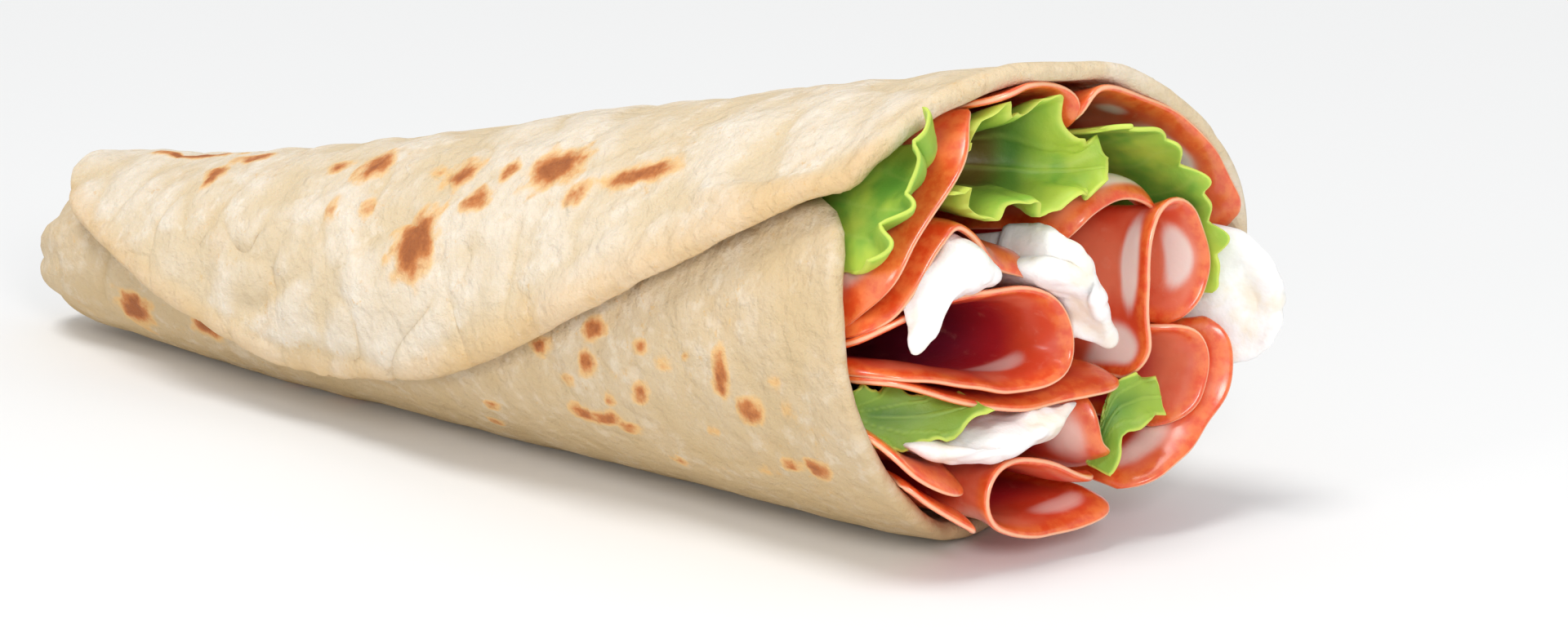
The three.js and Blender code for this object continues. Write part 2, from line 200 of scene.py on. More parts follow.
class Wire:  # a node's output, which can be used in sums
    def __init__(self, finish, socket):
        self.finish = finish
        self.socket = socket

    def sum(self, operation, a, b):
        return self.finish.node("ShaderNodeMath", {"operation": operation}, {0: a, 1: b})

    def __add__(self, other):
        return self.sum("ADD", self, other)

    def __radd__(self, other):
        return self.sum("ADD", other, self)

    def __sub__(self, other):
        return self.sum("SUBTRACT", self, other)

    def __rsub__(self, other):
        return self.sum("SUBTRACT", other, self)

    def __mul__(self, other):
        return self.sum("MULTIPLY", self, other)

    def __rmul__(self, other):
        return self.sum("MULTIPLY", other, self)

    def __abs__(self):
        return self.sum("ABSOLUTE", self, 0)


class Finish:  # a material and the nodes that are added to it
    def __init__(self, name):
        self.material = bpy.data.materials.new(name)
        self.material.use_nodes = True
        self.tree = self.material.node_tree
        self.tree.nodes.clear()
        self.place = Wire(self, self.tree.nodes.new("ShaderNodeTexCoord").outputs["Object"])

    def node(self, kind, settings, sockets, output=0):
        made = self.tree.nodes.new(kind)
        for name, value in settings.items():
            setattr(made, name, value)
        for name, value in sockets.items():
            if isinstance(value, Wire):
                self.tree.links.new(value.socket, made.inputs[name])
            elif isinstance(value, tuple) and len(value) == 3 and made.inputs[name].type == "RGBA":
                made.inputs[name].default_value = (*value, 1)
            else:
                made.inputs[name].default_value = value
        return Wire(self, made.outputs[output]) if made.outputs else None

    def field(self, name):
        return self.node("ShaderNodeAttribute", {"attribute_name": name}, {}, "Fac")

    def noise(self, scale, detail=3, roughness=0.55):
        sockets = {"Vector": self.place, "Scale": scale, "Detail": detail, "Roughness": roughness}
        return self.node("ShaderNodeTexNoise", {}, sockets)

    def ramp(self, value, low, high):  # 0 below low, 1 above high, smooth between
        settings = {"interpolation_type": "SMOOTHSTEP"}
        return self.node("ShaderNodeMapRange", settings, {"Value": value, "From Min": low, "From Max": high})

    def mix(self, amount, a, b):
        return self.node("ShaderNodeMix", {"data_type": "RGBA"}, {"Factor": amount, 6: a, 7: b}, 2)

    def bump(self, height, strength, distance, under=None):
        sockets = {"Height": height, "Strength": strength, "Distance": distance}
        if under:
            sockets["Normal"] = under
        return self.node("ShaderNodeBump", {}, sockets)

    def skin(self, sockets):
        shader = self.node("ShaderNodeBsdfPrincipled", {}, sockets)
        self.node("ShaderNodeOutputMaterial", {}, {"Surface": shader})
        return self.material


def colour(red, green, blue):  # from the 0 to 255 values of a picture to light
    def light(value):
        value = value / 255
        return value / 12.92 if value <= 0.04045 else ((value + 0.055) / 1.055) ** 2.4
    return light(red), light(green), light(blue)


bread = {
    "thickness": 3.0,
    "turnPitch": 3.8,  # how much further out each turn of the sheet lies
    "meanAngle": -105,  # where the sheet lies on the cone; 0 is the top, 90 the near side
    "innerAngle": -455, "flapAngle": 118.5,  # where the sheet begins, and where its flap ends
    "startRadius": 12, "flapRadius": 25,  # about how far from the roll's axis those two ends are
    # the tucked tail: where it starts to curl in, its length, how far its tip droops and sways
    # and how tight it is, and the angles between which the curl fades out
    "curlStation": -112, "curlLength": 25, "curlDroop": 5, "curlSway": 1.5, "pinchRadius": 0.5,
    "curlFrom": -150, "curlTo": -32,
    # the sheet's edge at the mouth and at the tail: angle, x
    "mouthOutline": [
        [-455, -118], [-430, -114], [-400, -104], [-385, -80], [-360, -28], [-335, 35], [-318, 70],
        [-306, 83.5], [-285, 88.5], [-265, 91], [-245, 94], [-222, 95.5], [-190, 93], [-160, 92],
        [-132, 97], [-110, 107], [-90, 115.5], [-70, 116.5], [-45, 113], [-20, 107], [0, 102],
        [28, 94], [48, 88], [54, 77], [61, 67], [71, 52], [90, 25], [107, 0], [113, -17],
        [117, -32], [118.5, -42],
    ],
    "tailOutline": [
        [28, -123.5], [40, -121], [52, -117], [63, -111], [78, -98], [93, -83], [105, -68],
        [113, -56], [118.5, -46],
    ],
    # soft swellings: x, angle, half length in x, half width in degrees, height
    "swellings": [
        [-78, 62, 30, 34, 1.6], [-20, 88, 26, 22, 1.1], [-112, 5, 12, 40, 0.9], [72, 52, 18, 10, 0.9],
        [108, -180, 20, 50, -2.4],
    ],
    # toasted spots: x, angle, half length along x and round the roll, turn, strength
    "spots": [
        [-77.9, 33, 1.8, 2.4, 20, 0.9], [-95, 7.9, 9, 0.7, 0, 1], [-73.3, 18.1, 3.6, 1.6, 10, 0.9],
        [-43.6, 30.6, 2.3, 1.3, 0, 0.8], [-32.9, 31, 3.4, 2.8, 25, 0.9], [-14.7, 36.9, 1.8, 1.3, 0, 0.5],
        [-7, 39.1, 3.4, 2.5, 0, 0.9], [5.5, 39.7, 2.2, 1.8, 0, 0.8], [17.2, 38.9, 4.9, 3.2, 20, 1],
        [39, 43.3, 6, 1.8, 12, 0.95], [25.7, 49.2, 2.6, 1.7, 20, 0.75], [1.5, 50.6, 2.6, 2.2, 30, 0.8],
        [-10.2, 66.1, 4, 5, 0, 1], [-27.5, 52, 2, 1.6, 0, 0.5], [-37.1, 52.4, 1.6, 2.2, 0, 0.45],
        [-99.5, -244.5, 4.2, 3.2, 0, 1], [-75.6, -246, 3.8, 2, 0, 1], [20.2, -263.7, 2, 1.6, 0, 0.9],
        [34.5, -272, 1.9, 1.4, 20, 0.9], [32, -260, 1.6, 2, 0, 0.9], [26.1, -253.6, 1.5, 1.2, 0, 0.5],
        [45.6, -267.9, 1.4, 1.1, 0, 0.8], [50.5, -263.6, 1.4, 1.2, 0, 0.45],
        [56.3, -266.6, 0.8, 0.6, 0, 0.7],
        [44.3, -253.5, 1.5, 1.5, 0, 0.8], [36, -248.7, 1, 1.1, 0, 0.8], [28, -241.4, 2.8, 1.3, 0, 0.9],
        [33.2, -241.1, 3, 1.4, 10, 0.9], [39, -238.8, 2.2, 1, 0, 0.7], [64.2, -262.9, 1.4, 3.4, 0, 0.95],
        [69.5, -252.8, 2, 2.2, 0, 0.9], [76.1, -262.1, 1.2, 1.2, 0, 0.4], [78.6, -254.4, 1.6, 1.6, 0, 0.4],
        [2.5, -234.9, 1.5, 0.9, 0, 0.8], [0, -224.2, 1.5, 1, 0, 0.8], [81.1, -237.4, 2.4, 1.6, 0, 1],
        [74.9, -236.1, 1.6, 1, 0, 0.8], [68.3, -231.8, 1.6, 1, 0, 0.5], [46.4, -227.1, 1.4, 1, 0, 0.7],
        [59.5, -244, 1.2, 0.8, 0, 0.5],
    ],
    "moreSpots": 46, "spotSeed": 11,  # for the sides that the photograph doesn't show
    "blister": [0.34, 1.35], "blisterDip": [0.2, 0.6],  # height and reach of a spot's relief
    # creases: from x, angle to x, angle, half width, depth (a ridge if negative)
    "creases": [
        [-29.5, 25.4, -24.8, 57.3, 1.0, 0.7], [-60.5, 98, -38, 77.2, 2.0, 0.9],
        [45.6, 37.3, 47.2, 44.1, 0.7, 0.4], [-41.5, 46, -33.4, 75.8, 1.3, 0.45],
        [-35.3, 44.5, -24.3, 75, 1.3, -0.4], [-23.2, 47, -17.5, 74.6, 1.2, 0.4],
        [-47.7, 41.5, -40.6, 76.2, 1.3, -0.35], [-19, 36, -13, 58, 1.1, -0.35],
        [-70, 70, -48, 72, 2.0, 0.4], [10, 86, 42, 58, 1.6, 0.35],
        [-106.8, -289.7, -108.2, -243.5, 1.4, 1.0],
    ],
    "hiddenTo": -285,  # up to here the sheet lies under the flap and takes fewer columns
    "hiddenColumns": 28, "shownColumns": 232, "rows": 158,
    "edgeRadius": 1.9,
    "flapLift": 1.1, "liftWidth": 12,  # how far the flap's edge stands off the turn below
    "flapRise": 0.35,  # room under the flap for its dents
    "edgePlumpness": 1.28,  # how much thicker the flap's edge is than the sheet
    "puckerDepth": 0.6, "puckerCount": 7,  # the gathers in the tail's tip
    "puffs": [[24, 0.8], [11, 0.72], [5.5, 0.38]],  # size and height of the sheet's unevenness
    "foldDepth": 0.7, "veinDepth": 0.35,  # the wide and the thin wrinkles
    "hemWidth": 5.2, "hemDepth": 0.5,  # the faint groove that runs along the flap's edge
    "innerCalm": 0.4,  # how much of that unevenness the inner turn has
}


def sheetRadius(angle, x):
    turn = bread["turnPitch"] * (angle - bread["meanAngle"]) / 360
    return coneRadius(x) - bread["thickness"] / 2 + turn


def axisHeight(x):
    reach = np.maximum(roll["liftFrom"] - x, 0) / (roll["liftFrom"] - roll["tailStation"])
    return sheetRadius(-180, x) + bread["thickness"] / 2 - roll["restFlat"] + roll["tailLift"] * reach ** 2


def tailEnd(angle):
    curled = 1 - smoothstep(angle, bread["curlFrom"], bread["curlTo"])
    return lerp(readCurve(bread["tailOutline"], angle), bread["curlStation"] - bread["curlLength"], curled)


def breadMiddle(angle, along):  # the middle of the sheet's thickness
    curled = 1 - smoothstep(angle, bread["curlFrom"], bread["curlTo"])
    tailX = tailEnd(angle)
    run = lerp(tailX, readCurve(bread["mouthOutline"], angle), along)
    beyond = np.maximum(bread["curlStation"] - run, 0)
    bend = beyond * math.pi / (2 * bread["curlLength"])
    tipward = curled * (1 - np.cos(bend))
    x = run + curled * (beyond - bread["curlLength"] * np.sin(bend))
    radius = sheetRadius(angle, np.maximum(run, lerp(tailX, bread["curlStation"], curled)))
    radius = radius - (sheetRadius(angle, bread["curlStation"]) - bread["pinchRadius"]) * tipward
    for middleX, middleAngle, spanX, spanAngle, height in bread["swellings"]:
        reach = ((x - middleX) / spanX) ** 2 + ((angle - middleAngle) / spanAngle) ** 2
        radius = radius + height * np.exp(-reach)
    turned = np.radians(angle)
    y = -radius * np.sin(turned) - bread["curlSway"] * tipward
    z = axisHeight(x) + radius * np.cos(turned) - bread["curlDroop"] * tipward
    return np.stack([x, y, z], axis=-1)


def breadSpots():  # the listed spots, and others like them drawn at random on the far side
    draw = random.Random(bread["spotSeed"])
    spots = list(bread["spots"])
    for _ in range(bread["moreSpots"]):
        size = draw.uniform(0.8, 3.6)
        x = draw.uniform(-100, 100)
        angle = draw.uniform(-200, -15)
        spots.append([x, angle, size * draw.uniform(0.9, 1.6), size * draw.uniform(0.6, 1.1),
                      draw.uniform(-30, 30), draw.uniform(0.4, 1)])
    return spots


def breadWrinkles(angle, flat, toEdge):  # the puffs, dents and thin wrinkles all over the sheet
    onFlap = smoothstep(angle, -70, -10)
    puffs = 0
    for seed, (size, height) in enumerate(bread["puffs"]):
        puffs = puffs + height * lumpiness(flat, size, seed + 1)
    warped = flat + 3 * lumpiness(flat, 12, 8)[..., None]
    folds = 1 - np.minimum(np.abs(lumpiness(warped * [1, 0.6, 0.6], 15, 9)) / 0.2, 1)
    veins = 1 - np.minimum(np.abs(lumpiness(warped * [0.7, 1, 1], 9, 10)) / 0.3, 1)
    patchy = smoothstep(lumpiness(flat, 26, 11), -0.15, 0.3)
    creased = bread["foldDepth"] * folds ** 2 * patchy + bread["veinDepth"] * veins ** 2 * (1 - patchy)
    groove = bread["hemDepth"] * np.exp(-((toEdge - bread["hemWidth"]) / 1.6) ** 2)
    hem = groove * smoothstep(angle, 60, 90) * (0.6 + 0.8 * lumpiness(flat, 20, 12))
    return (puffs - creased) * lerp(bread["innerCalm"], 1, onFlap) - hem


def breadRelief(angle, x, flat, toEdge):  # blisters and creases, and how toasted each place is
    toast = np.zeros_like(x)
    relief = breadWrinkles(angle, flat, toEdge)
    arc = math.radians(1) * coneRadius(x)  # a degree round the roll, in millimetres
    (rise, riseReach), (dip, dipReach) = bread["blister"], bread["blisterDip"]
    for spotX, spotAngle, halfX, halfArc, turn, strength in breadSpots():
        offX = x - spotX
        offArc = (angle - spotAngle) * arc
        near = (np.abs(offX) < 4 * halfX + 4) & (np.abs(offArc) < 4 * halfArc + 4)
        cosTurn, sinTurn = math.cos(math.radians(turn)), math.sin(math.radians(turn))
        u = (offX[near] * cosTurn - offArc[near] * sinTurn) / halfX
        v = (offX[near] * sinTurn + offArc[near] * cosTurn) / halfArc
        reach = np.sqrt(u * u + v * v) * (1 + 0.5 * lumpiness(flat[near], 2.8, 5))
        toast[near] = np.maximum(toast[near], strength * (1 - smoothstep(reach, 0.2, 2.0)))
        blister = rise * np.exp(-(reach / riseReach) ** 2) - dip * np.exp(-(reach / dipReach) ** 2)
        relief[near] += strength * blister
    bent = x + 2.2 * lumpiness(flat, 11, 13)
    for fromX, fromAngle, toX, toAngle, width, depth in bread["creases"]:
        runX = toX - fromX
        runArc = (toAngle - fromAngle) * arc
        acrossX = bent - fromX
        acrossArc = (angle - fromAngle) * arc
        share = (acrossX * runX + acrossArc * runArc) / (runX ** 2 + runArc ** 2)
        held = np.clip(share, 0, 1)
        away = np.sqrt((acrossX - held * runX) ** 2 + (acrossArc - held * runArc) ** 2)
        reach = (away + 0.5 * lumpiness(flat, 5, 6)) / width
        fade = smoothstep(share, -0.15, 0.2) * (1 - smoothstep(share, 0.8, 1.15))
        relief -= depth * fade * (np.exp(-reach ** 2) - 0.35 * np.exp(-(reach / 2.2) ** 2))
    return relief, toast


def breadColumns():  # the angles of the sheet's columns, closer together where an edge slants
    edge = edgeSteps(bread["edgeRadius"])
    arcStart = math.degrees(1 / bread["startRadius"])  # a millimetre round the sheet, in degrees
    arcFlap = math.degrees(1 / bread["flapRadius"])
    starts = [bread["innerAngle"] + d * arcStart for d in edge]
    ends = [bread["flapAngle"] - d * arcFlap for d in reversed(edge)]
    first = starts[-1] + 1
    hidden = np.linspace(first, bread["hiddenTo"], bread["hiddenColumns"], endpoint=False)
    fine = np.linspace(bread["hiddenTo"], ends[0] - 0.1, 4000)
    arc = math.radians(1) * coneRadius(20) * np.diff(fine)
    slants = [np.diff(tailEnd(fine)), np.diff(readCurve(bread["mouthOutline"], fine))]
    steps = np.sqrt(arc ** 2 + sum((0.5 * slant) ** 2 for slant in slants))
    walked = np.concatenate([[0], np.cumsum(steps)])
    shown = np.interp(np.linspace(0, walked[-1], bread["shownColumns"]), walked, fine)
    return np.concatenate([starts, hidden, shown, ends])


# The sheet's grid: each vertex's angle, its share of the way from tail to mouth, and how far it
# is from the nearest edge. The rows crowd together at both ends, where the edges are rounded.
def breadGrid():
    angles = breadColumns()
    tailX = tailEnd(angles)
    mouthX = readCurve(bread["mouthOutline"], angles)
    length = (mouthX - tailX)[:, None]
    arc = math.radians(1) * coneRadius((tailX + mouthX) / 2)
    slantMouth = np.sqrt(1 + (np.gradient(mouthX, angles) / arc) ** 2)[:, None]
    slantTail = np.sqrt(1 + (np.gradient(tailX, angles) / arc) ** 2)[:, None]
    radius = bread["edgeRadius"]
    edge = np.array(edgeSteps(radius, 5))
    mouthEdge = np.minimum(slantMouth * radius * 1.02, 0.35 * length) / radius
    tailEdge = np.minimum(slantTail * radius * 1.02, 0.35 * length) / radius
    between = np.linspace(0, 1, bread["rows"])
    inner = lerp(tailEdge * radius / length, 1 - mouthEdge * radius / length, between)
    tailRows = tailEdge / length * edge
    mouthRows = 1 - mouthEdge / length * edge[::-1]
    along = np.concatenate([tailRows, inner, mouthRows], axis=1)
    angle = np.repeat(angles[:, None], along.shape[1], axis=1)
    toMouth = (1 - along) * length / slantMouth
    toTail = along * length / slantTail
    toFlap = (bread["flapAngle"] - angle) * bread["flapRadius"] * math.radians(1)
    toStart = (angle - bread["innerAngle"]) * bread["startRadius"] * math.radians(1)
    return angle, along, np.minimum(np.minimum(toMouth, toTail), np.minimum(toFlap, toStart))


def makeBread(material):
    angle, along, toEdge = breadGrid()
    points = breadMiddle(angle, along)
    normals = gridNormals(points)
    x = points[..., 0]
    flat = np.stack([x, angle * math.radians(1) * coneRadius(x) * 0.9, 0.2 * angle], axis=-1)
    relief, toast = breadRelief(angle, x, flat, toEdge)
    underFlap = 1 - smoothstep(angle, -320, -290)
    relief *= 1 - 0.85 * underFlap
    onFlap = smoothstep(angle, -20, 20)
    nearEdge = onFlap * (1 - smoothstep(toEdge, 0, bread["liftWidth"]))
    lift = bread["flapLift"] * nearEdge + bread["flapRise"] * onFlap
    gathers = np.sin(np.radians(angle) * bread["puckerCount"] + 1.4 * lumpiness(flat, 9, 7))
    puckers = bread["puckerDepth"] * smoothstep(-x, 114, 132) * gathers
    points = points + normals * (relief + lift + puckers)[..., None]

    piece = gridPiece("bread", points)
    evenFaces(piece)
    plump = 1 + (bread["edgePlumpness"] - 1) * nearEdge
    fullness = roundedEdge(toEdge, bread["edgeRadius"]) * plump / bread["edgePlumpness"]
    fields = {
        "toast": toast,
        "raise": relief,
        "toLip": toEdge + 30 * (1 - smoothstep(angle, 15, 45)),
        # darker from the far side round to the underside and the inner turn, most towards the bottom:
        # painted shade
        "inside": (1 - smoothstep(angle, -170, -60)) * (0.65 + 0.35 * smoothstep(angle, -262, -205)),
    }
    thicken(piece, bread["thickness"] * bread["edgePlumpness"], fullness, fields)
    places = readPlaces(piece)
    places[:, 2] = np.maximum(places[:, 2], 0)  # pressed flat where it rests
    setPlaces(piece, places)
    finishPiece(piece, "flatbread", material)
    print("bread made:", len(piece.data.polygons), "faces")


def breadMaterial():
    finish = Finish("bakedBread")
    toast = finish.field("toast")
    raised = finish.field("raise")
    inside = finish.field("inside")
    toLip = finish.field("toLip")
    broad = finish.noise(75, 4, 0.6)
    fine = finish.noise(330, 5, 0.62)
    speck = finish.noise(620, 3, 0.6)
    wrinkle = finish.ramp(abs(finish.noise(48, 3, 0.5) - 0.5), 0, 0.045)  # 0 along thin winding lines
    patchy = finish.ramp(broad, 0.46, 0.64)
    # the dough's tone varies at random, and is darker in the sheet's dents and lighter on its puffs: painted
    # shade
    height = raised * 0.42 + broad * 0.9
    doughAndShade = finish.mix(finish.ramp(height, 0.2, 0.62), colour(215, 195, 162), colour(223, 209, 188))
    # painted shade on the far side, the underside and the inner turn, where less flour shows as well
    shadedUnderside = finish.mix(inside * 0.9, doughAndShade, colour(196, 168, 122))
    flour = finish.ramp(fine + raised * 0.12, 0.46, 0.66) * finish.ramp(broad, 0.36, 0.6)
    floury = finish.mix(flour * (0.5 - inside * 0.3), shadedUnderside, colour(238, 229, 214))
    # darker along the thin creases, in patches: painted crease shade
    creaseShaded = finish.mix((1 - wrinkle) * patchy * 0.25, floury, colour(206, 170, 114))
    # darker golden along the flap's lip: partly its baked edge, partly painted shade under the lip
    bakedAndShadedLip = finish.mix((1 - finish.ramp(toLip, 0.2, 8)) * 0.55, creaseShaded, colour(212, 172, 112))
    flecks = finish.ramp(speck, 0.6, 0.7) * finish.ramp(broad, 0.45, 0.62)
    flecked = finish.mix(flecks * 0.45, bakedAndShadedLip, colour(216, 172, 106))
    ragged = toast + (fine - 0.5) * 1.1 * finish.ramp(toast, 0.02, 0.35)
    golden = finish.mix(finish.ramp(ragged, 0.04, 0.4) * 0.75, flecked, colour(230, 184, 118))
    brown = finish.mix(finish.ramp(ragged, 0.3, 0.78), golden, colour(196, 122, 66))
    charred = finish.mix(finish.ramp(ragged, 0.62, 1.0) * 0.8, brown, colour(152, 84, 42))
    pores = finish.bump(finish.noise(620, 4, 0.65), 0.5, 0.0006)
    creased = finish.bump(wrinkle, 0.3, 0.0006, pores)
    crust = finish.bump(finish.noise(170, 5, 0.58), 0.9, 0.0018, creased)
    return finish.skin({
        "Base Color": charred,
        "Roughness": 0.82 - finish.ramp(toast, 0.3, 0.8) * 0.18,
        "Normal": crust,
        "Subsurface Weight": 0.12,
        "Subsurface Radius": (0.004, 0.0025, 0.0014),
        "Subsurface Scale": 1.0,
        "Specular IOR Level": 0.3,
    })


def inSection(x, y, z):  # moves a point of the layout section along the roll to the section at x
    pinch = smoothstep(x, roll["pinchTo"], roll["pinchFrom"])
    narrowing = lerp(roll["pinchedScale"], 1, pinch)
    scale = coneRadius(x) / coneRadius(roll["layoutStation"]) * narrowing
    height = axisHeight(x) + (z - axisHeight(roll["layoutStation"])) * scale
    return np.stack(np.broadcast_arrays(x, y * scale, height), axis=-1)


def mouthPlane(y, z):  # how far along the roll the mouth's plane stands there
    front = roll["layoutStation"] + roll["mouthAhead"]
    return front + roll["mouthSlopeY"] * y + roll["mouthSlopeZ"] * (z - roll["mouthHeight"])


ham = {
    "thickness": 1.2,
    "stations": [85, 20, -60],  # where the slices bend on their way into the roll
    "stepAlong": 0.8,  # how finely a slice is divided along its path
    "softening": 2.2,  # how far the bends of its path are rounded off
    "shownDepth": 30, "shownRows": 34,  # the part that shows in the mouth, which takes most rows
    "edgeRadius": 0.6, "cornerRadius": 6,
    "wave": 1.1, "waveSize": 9,  # how unevenly its front edge stands
    "ripple": 0.45, "rippleSize": 7,  # how uneven its face is
    "curlDepth": 8,  # how far back the curl of a slice's edge begins
    # path: its points across the section; fronts: how far out of the mouth it stands along them
    # curl: how far its edge curls to the left of the path at its start and end
    # lean: how far its edge leans in y and z; tip: how much more so towards the path's end
    # extend: how far the path is drawn out at each end; ahead: how far its end stands further out
    # corner: its own corner radius; rind: how wide its orange rind is; shade: how soon painted shade darkens
    # it further in
    # the pale patches, painted highlights and partly fat: each a share of the path, depth, half sizes in
    # both, strength
    "slices": {
        "ham_lining_left": {
            "path": [[-10.5, 77.6], [-3, 78.6], [3.4, 77.6], [6.2, 75], [6.2, 70.6]],
            "fronts": [1, 0, 0, 1], "curl": [0.5, 1.5],
            "rind": 6, "fat": [[0.78, 4, 4, 2, 0.6]],
        },
        "ham_lining_right": {
            "path": [
                [8.4, 71.4], [8.8, 75.2], [12.4, 75.9], [19.6, 72.6], [26.8, 66.8], [32.4, 59.8],
                [36, 51.6], [37, 47.4],
            ],
            "fronts": [1, 0, 0, 0, 0], "curl": [0.5, 2.4], "ahead": 1.5,
            "rind": 3.4, "fat": [[0.34, 6, 3, 2, 0.6], [0.66, 7, 9, 3, 0.9]], "shade": 0.45,
        },
        "ham_left_arch": {
            "path": [
                [-34.5, 46], [-32.1, 52.1], [-28.2, 58.6], [-23.8, 64.1], [-19.4, 69.4],
                [-16.4, 73.2], [-14.2, 75.6],
            ],
            "fronts": [-9, -1, 1, 2, 1, -3], "curl": [-1, -1.2], "corner": 1, "extend": [2.5, 3.5],
            "rind": 6, "fat": [[0.3, 8, 5, 4, 0.6]], "shade": 0.6,
        },
        "ham_cradle": {
            "path": [
                [-35.2, 43.3], [-30.6, 47.4], [-26.9, 52.2], [-23.4, 57.4], [-20.2, 60.2],
                [-16.6, 59.6], [-10.7, 55.6], [-3.4, 52.2],
            ],
            "fronts": [-3, 0, 1, 1, 1, 1], "curl": [-0.6, -1.6], "tip": [0, -4.5], "extend": [0, 3],
            "rind": 6,
        },
        "ham_loop": {
            "path": [
                [-35.5, 41], [-28.6, 44.6], [-16.5, 46], [-6.8, 44.8], [-1, 41.2], [0.9, 36.2],
                [-0.9, 32.6], [-9, 31.6], [-17.3, 33.8], [-28, 37.4], [-35.2, 39],
            ],
            "fronts": [-3, 0, 1, 1, 1, 1, 0, -3], "curl": [1.2, 2.4],
            "rind": 2.6, "fat": [[0.62, 9, 6, 3, 0.7]], "shade": 1.15,
        },
        "ham_band": {
            "path": [
                [-35.2, 36.6], [-30, 35.6], [-24, 33], [-17, 30.4], [-8, 28.3], [3.6, 28.6], [13.4, 29.2],
            ],
            "fronts": [-3, 0, 1, 1, 1], "curl": [-1, -2.6],
            "rind": 5,
        },
        "ham_arch": {
            "path": [[2.8, 54.6], [5.6, 58.4], [10.4, 60.8], [15.2, 61.4], [20.1, 59.8], [25.2, 56.4]],
            "fronts": [0, 1, 1, 1, 1], "curl": [-1.5, -1.5], "lean": [-1, -3],
            "rind": 3, "fat": [[0.6, 5, 7, 2.6, 0.95]], "shade": 0.35,
        },
        "ham_right_loop": {
            "path": [
                [16.6, 33], [16.9, 44], [18.9, 50.8], [22, 54.2], [25, 53.6], [27.2, 50], [28.2, 45],
                [26.8, 39.2], [23.4, 35.2],
            ],
            "fronts": [2, 2, 2, 2], "curl": [1.6, 1.6], "extend": [6, 0],
            "rind": 2.2, "shade": 0.5,
            "fat": [[0.36, 3.8, 8, 2, 1], [0.08, 7, 5, 5, 1], [0.78, 5, 6, 2.4, 0.95]],
        },
        "ham_right_fold": {
            "path": [[20.4, 33.2], [24.6, 32.4], [26.6, 28], [25.2, 22], [20.6, 18.4]],
            "fronts": [2, 2, 2], "curl": [1.5, 1.5],
            "rind": 2.6,
        },
        "ham_upright": {
            "path": [[4.2, 25.6], [3.8, 20], [4.6, 15.8], [7.2, 14]],
            "fronts": [0, 1, 1], "curl": [2.5, 2.5], "extend": [2, 3],
            "rind": 2.6, "fat": [[0.5, 6, 7, 4, 0.5]],
        },
        "ham_lower_left": {
            "path": [[-33.2, 28.4], [-31, 24.6], [-27.6, 21.2], [-23.4, 19.2], [-18.6, 19]],
            "fronts": [-2, 0, 1, 1], "curl": [-2.5, -4.5],
            "rind": 5,
        },
        "ham_bottom_loop": {
            "path": [
                [9.2, 9.2], [3.6, 7.5], [-4, 6.8], [-11.6, 7.8], [-15.6, 10.8], [-16, 14.2],
                [-13.4, 16.6], [-9, 17.1], [-3.4, 14.8], [3, 12], [7.6, 11.3],
            ],
            "fronts": [1, 1, 1, 1, 1, 1, 1], "curl": [2.4, 1],
            "rind": 2.8, "fat": [[0.13, 6, 6, 2.6, 0.6]],
        },
        "ham_bottom_outer": {
            "path": [[-28.6, 18.6], [-24.8, 15], [-20.4, 11.8], [-18, 10.4]],
            "fronts": [-2, 0, 1], "curl": [-2, -3], "corner": 2,
            "rind": 5,
        },
        "ham_lower_right": {
            "path": [[11.4, 9.8], [16.6, 12.8], [22.8, 17], [27.8, 21.6], [30, 27.6], [29.4, 33.6]],
            "fronts": [3, 3, 3, 3], "curl": [-1.6, -2.8],
            "rind": 3.4, "fat": [[0.3, 7, 8, 3, 0.6]],
        },
    },
}


def drawnOut(inner, end, length):  # the end, moved on by that length
    return end + (end - inner) / np.linalg.norm(end - inner) * length


# The path of a slice or leaf, drawn out at its ends and softened: the share, y and z of each of
# its columns, which crowd together at both ends, and its length.
def sheetPath(sheet, settings):
    given = np.array(sheet["path"], float)
    startBy, endBy = sheet.get("extend", [0, 0])
    first = drawnOut(given[1], given[0], startBy)
    last = drawnOut(given[-2], given[-1], endBy)
    path, pathLength = smoothPath([first, *given[1:-1], last], 400)
    path = softened(path, pathLength, settings["softening"])
    edge = np.array(edgeSteps(settings["edgeRadius"], 3)) / pathLength
    rim = settings["edgeRadius"] / pathLength
    columns = int(pathLength / settings["stepAlong"])
    share = np.concatenate([edge, np.linspace(rim, 1 - rim, columns), 1 - edge[::-1]])
    evenly = np.linspace(0, 1, len(path))
    return share, np.interp(share, evenly, path[:, 0]), np.interp(share, evenly, path[:, 1]), pathLength


def sheetFront(sheet, settings, share, y, z, pathLength, seed):  # where its waved front edge stands
    fronts = [[k / (len(sheet["fronts"]) - 1), value] for k, value in enumerate(sheet["fronts"])]
    wander = np.stack([share * pathLength, np.full_like(share, seed * 3.1), np.zeros_like(share)], axis=-1)
    front = mouthPlane(y, z) + readCurve(fronts, share)
    front += sheet.get("ruffle", 0) * np.sin(2 * math.pi * sheet.get("waves", 0) * share)
    front += settings["wave"] * lumpiness(wander, settings["waveSize"], seed)
    front += sheet.get("ahead", 0) * smoothstep(share, 0.2, 0.7)
    lobe = np.abs(np.sin(math.pi * sheet.get("lobeCount", 1) * share + 0.8 * lumpiness(wander, 9, seed)))
    front += sheet.get("lobes", 0) * (lobe - 0.6)
    fromEnd = np.minimum(share, 1 - share) * pathLength
    corner = sheet.get("corner", settings["cornerRadius"])
    return front - corner + np.sqrt(corner ** 2 - np.maximum(corner - fromEnd, 0) ** 2)


def betweenKnots(x, knotsX, knots):  # straight runs between the stations, as the frame has them
    place = knots[0].copy()
    for k in range(len(knots) - 1):
        ahead, behind = knotsX[k], knotsX[k + 1]
        share = np.clip((ahead - x) / (ahead - behind), 0, 1)[:, None]
        inside = (x <= ahead)[:, None]
        place = np.where(inside, lerp(knots[k], knots[k + 1], share), place)
    return place


